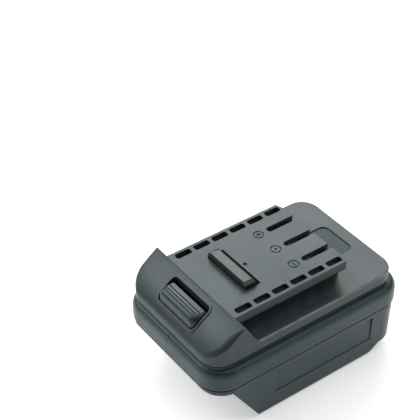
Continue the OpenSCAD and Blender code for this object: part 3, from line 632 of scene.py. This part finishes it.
button = merged_copy("release_button", "button_rounded", latch_plastic)
button_envelope = rounded_pad("button_envelope", half_w=14.75, front_y=-15.4, back_y=0.0, low_z=45.0,
                              high_z=61.9, corner=3.2, roll_w=3.6, roll_d=4.2, end_w=2.4)
cut_to(button, button_envelope, sharp_angle=radians(28))
stands_for(button, "release_button", body="latch")


# Top cover: one moulding of the same plastic as the shells, snapped on with a bead. The edges of
# its ramp roll over towards the side walls, more at the front corners than at the crease. The rim
# of its deck carries a painted highlight, a pale band broken up by noise, and the sunk field is eroded
# coarser.

cover_x, cover_front, corner_r = 37.0, -19.0, 11.0
top_z, ramp_drop, ramp_sag, crease_flat = 65.0, 14.4, 1.6, 0.3
near_crease = -0.02
crease_wide, crease_deep = 0.35, 0.12
corner_wide, corner_deep = 4.65, 2.72
front_wide, front_deep = 2.0, 0.9
ramp_l = -cover_front - crease_flat
chord = hypot(ramp_l, ramp_drop)
arc_r = (chord * chord / 4 + ramp_sag * ramp_sag) / (2 * ramp_sag)
arc_y = -crease_flat - ramp_l / 2 + ramp_drop / chord * (arc_r - ramp_sag)
arc_z = top_z - ramp_drop / 2 - ramp_l / chord * (arc_r - ramp_sag)


def ramp_height(y):
    """Height of the ramp at a distance from the crease."""
    if y > -crease_flat:
        return top_z
    return min(top_z, arc_z + sqrt(arc_r * arc_r - (y - arc_y) ** 2))


def ramp_outline():
    """Points round the edge of the ramp, from the left end of the crease to the right, with the outward
    direction, the width and the depth of the roll at each."""
    half = []
    corner_y = cover_front + corner_r
    side_steps, corner_steps = 20, 24
    for step in range(side_steps + 1):
        along = step / side_steps
        grow = along ** 0.75
        half.append((cover_x, corner_y * along + near_crease * (1 - along), 1.0, 0.0,
                     crease_wide + (corner_wide - crease_wide) * grow,
                     crease_deep + (corner_deep - crease_deep) * grow))
    for step in range(1, corner_steps + 1):
        turn = radians(90 * step / corner_steps)
        ease = 0.5 - 0.5 * cos(pi * step / corner_steps)
        half.append((cover_x - corner_r + corner_r * cos(turn), corner_y - corner_r * sin(turn),
                     cos(turn), -sin(turn), corner_wide + (front_wide - corner_wide) * ease,
                     corner_deep + (front_deep - corner_deep) * ease))
    middle = [((cover_x - corner_r) * share, cover_front, 0.0, -1.0, front_wide, front_deep)
              for share in (0.8, 0.6, 0.4, 0.2, 0.0, -0.2, -0.4, -0.6, -0.8)]
    left = [(-x, y, -nx, ny, wide, deep) for x, y, nx, ny, wide, deep in half]
    return left + middle[::-1] + half[::-1]


def ramp_envelope(name, low_z, back_y):
    """A closed form round the whole cover that only touches it along the rolled edges of the ramp."""
    outside, high_z, steps, last = 3.0, top_z + 8.0, 16, radians(75)
    clear, step_in, step_up = 0.05, 0.3, 0.4
    shape = bmesh.new()
    rings = []
    for x, y, nx, ny, wide, deep in ramp_outline():
        edge_z = ramp_height(y) - deep * (1 - cos(last)) + clear
        section = [(outside, low_z), (outside, edge_z)]
        for step in range(steps + 1):
            lean = last * (1 - step / steps)
            inward = wide * (1 - sin(lean) / sin(last))
            section.append((-inward, ramp_height(y - ny * inward) - deep * (1 - cos(lean)) + clear))
        section.append((-wide - step_in, ramp_height(y - ny * (wide + step_in)) + step_up))
        section.append((-wide - step_in, high_z))
        rings.append([shape.verts.new(at(x + nx * out, y + ny * out, z)) for out, z in section])
    for before, after in zip(rings, rings[1:]):
        for k in range(len(before) - 1):
            shape.faces.new((before[k], before[k + 1], after[k + 1], after[k]))
    ends = []
    for ring, side in ((rings[0], -1), (rings[-1], 1)):
        x = side * (cover_x + outside)
        top = shape.verts.new(at(x, near_crease, high_z))
        back_low = shape.verts.new(at(x, back_y, low_z))
        back_top = shape.verts.new(at(x, back_y, high_z))
        shape.faces.new([top] + ring[1:])
        shape.faces.new((ring[0], ring[1], top, back_top, back_low))
        ends.append((top, back_low, back_top))
    (left_top, left_low, left_back), (right_top, right_low, right_back) = ends
    shape.faces.new([ring[-1] for ring in rings] + [right_top, right_back, left_back, left_top])
    shape.faces.new([ring[0] for ring in rings] + [right_low, left_low])
    shape.faces.new((left_low, left_back, right_back, right_low))
    return closed_form(name, shape)


cover_plastic = moulded("cover_plastic", (0.022, 0.035, 0.037), 0.40)
tree = cover_plastic.node_tree
place = add(tree, "ShaderNodeTexCoord").outputs["Object"]
field_middle, field_half = at(0.0, 75.0, 51.4), (0.0118, 0.0155, 0.0004)
offset = add(tree, "ShaderNodeVectorMath", {0: place, 1: field_middle}, operation="SUBTRACT").outputs[0]
share = add(tree, "ShaderNodeVectorMath", {0: offset, 1: field_half}, operation="DIVIDE").outputs[0]
distance = add(tree, "ShaderNodeVectorMath", {0: share}, operation="ABSOLUTE").outputs[0]
parts = add(tree, "ShaderNodeSeparateXYZ", {"Vector": distance}).outputs
wide = worked(tree, "MAXIMUM", parts["X"], parts["Y"])
inside = worked(tree, "LESS_THAN", worked(tree, "MAXIMUM", wide, parts["Z"]), 1.0)
dull(cover_plastic, inside, 0.16)

# Painted highlight: a pale band along the deck rim, behind the sunk field, broken up by noise.
rim_z, rim_half, rim_start, rim_full = 0.05155, 0.0004, at(0.0, 6.0, 0.0)[1], at(0.0, 10.0, 0.0)[1]
past_field = 1.15
spot = add(tree, "ShaderNodeSeparateXYZ", {"Vector": place}).outputs
mottle = add(tree, "ShaderNodeTexNoise", {"Vector": place, "Scale": 160.0, "Detail": 4.0}).outputs["Fac"]
painted_rim_highlight = worked(tree, "COMPARE", spot["Z"], rim_z, rim_half)
for limit in (span(tree, spot["Y"], rim_start, rim_full), worked(tree, "GREATER_THAN", wide, past_field),
              span(tree, mottle, 0.35, 0.6, 0.5, 1.0)):
    painted_rim_highlight = worked(tree, "MULTIPLY", painted_rim_highlight, limit)
repaint(cover_plastic, painted_rim_highlight, (0.19, 0.215, 0.215))
cover = merged_copy("top_cover", "cover_rolled", cover_plastic)
below_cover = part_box("top_cover")[0].z * 1000 - 3.0
behind_cover = 110.0
cut_to(cover, ramp_envelope("ramp_envelope", below_cover, behind_cover), sharp_angle=radians(22))
stands_for(cover, "top_cover")


# Housing screws: three longer screws of the same kind, put in from the left through deep holes,
# so that only their heads show.

seat_x = -8.0
head_left = (0.0, -pi / 2, 0.0)
housing_screws = grown("housing_screws_set", screw_tree,
                       [at(seat_x, 68.9, 35.0), at(seat_x, 84.0, 19.0), at(seat_x, 89.0, 35.0)],
                       Shank=0.003, Length=0.019, Head=0.0056, Cap=0.002, Turn=head_left, Finish=steel)
stands_for(housing_screws, "housing_screws")


# Studio: a pale table under soft boxes in a dim room, with the camera above the front right corner.
# The table shows in the upright faces, and the room keeps the low slopes dark.

table_mesh = bpy.data.meshes.new("table")
table_shape = bmesh.new()
bmesh.ops.create_grid(table_shape, x_segments=1, y_segments=1, size=30.0)
table_shape.to_mesh(table_mesh)
table_shape.free()
table = bpy.data.objects.new("table", table_mesh)
table.location.z = -0.0002
bpy.context.scene.collection.objects.link(table)
table_paint, tree = new_material("table_paint")
paint = add(tree, "ShaderNodeBsdfDiffuse", {"Color": (0.92, 0.92, 0.92, 1.0)})
seen = add(tree, "ShaderNodeLightPath")
mirrored = worked(tree, "MAXIMUM", seen.outputs["Is Glossy Ray"], seen.outputs["Is Transmission Ray"])
direct = worked(tree, "MAXIMUM", seen.outputs["Is Camera Ray"], mirrored)
place = add(tree, "ShaderNodeTexCoord").outputs["Object"]
away = add(tree, "ShaderNodeVectorMath", {0: place}, operation="LENGTH").outputs["Value"]
near_m, far_m, near_lift, far_lift = 0.5, 2.5, 0.44, 0.85
wash = worked(tree, "MULTIPLY", direct, span(tree, away, near_m, far_m, near_lift, far_lift))
lift = add(tree, "ShaderNodeEmission", {"Color": (1.0, 1.0, 1.0, 1.0), "Strength": wash})
both = add(tree, "ShaderNodeAddShader", {0: paint.outputs[0], 1: lift.outputs[0]})
add(tree, "ShaderNodeOutputMaterial", {"Surface": both.outputs[0]})
table_mesh.materials.append(table_paint)

scene = bpy.context.scene
scene.view_settings.view_transform = "Standard"
room = bpy.data.worlds.new("room")
room.use_nodes = True
tree = room.node_tree
tree.nodes.clear()
sky = add(tree, "ShaderNodeTexCoord").outputs["Generated"]
window_side = (-0.63, 0.46, 0.62)
facing = add(tree, "ShaderNodeVectorMath", {0: sky, 1: window_side}, operation="DOT_PRODUCT").outputs["Value"]
room_tone = shades(tree, facing, [
    (0.0, (0.05, 0.05, 0.05)), (0.3, (0.12, 0.12, 0.12)), (0.7, (0.40, 0.40, 0.40)), (1.0, (0.5, 0.5, 0.5))])
room_light = add(tree, "ShaderNodeBackground", {"Color": room_tone, "Strength": 1.0})
add(tree, "ShaderNodeOutputWorld", {"Surface": room_light.outputs[0]})
scene.world = room


def soft_box(name, place, width, power):
    """A square lamp that faces the object."""
    light = bpy.data.lights.new(name, "AREA")
    light.energy = power
    light.size = width
    lamp = bpy.data.objects.new(name, light)
    lamp.location = place
    lamp.rotation_euler = (Vector((0.0, 0.0, 0.03)) - Vector(place)).to_track_quat("-Z", "Y").to_euler()
    scene.collection.objects.link(lamp)


soft_box("back_left_box", (-0.80, 0.62, 0.85), 0.8, 9.0)
soft_box("overhead_box", (0.05, 0.25, 1.25), 0.9, 4.5)
soft_box("front_left_box", (-0.75, -0.60, 0.85), 0.85, 10.0)
soft_box("back_right_box", (0.80, 0.60, 0.82), 0.5, 2.5)

camera_data = bpy.data.cameras.new("camera")
camera_data.sensor_fit = "HORIZONTAL"
camera_data.sensor_width = 36.0
camera_data.lens = 111.06
azimuth, elevation, roll = radians(53.81), radians(38.6), radians(-0.2)
back = Vector((sin(azimuth) * cos(elevation), -cos(azimuth) * cos(elevation), sin(elevation)))
level = Vector((cos(azimuth), sin(azimuth), 0.0))
upright = back.cross(level)
right = level * cos(roll) + upright * sin(roll)
top = upright * cos(roll) - level * sin(roll)
eye = Vector((0.3836, -0.3151, 0.4892))
camera = bpy.data.objects.new("camera", camera_data)
camera.matrix_world = Matrix((
    (right.x, top.x, back.x, eye.x), (right.y, top.y, back.y, eye.y),
    (right.z, top.z, back.z, eye.z), (0, 0, 0, 1)))
scene.collection.objects.link(camera)
scene.camera = camera
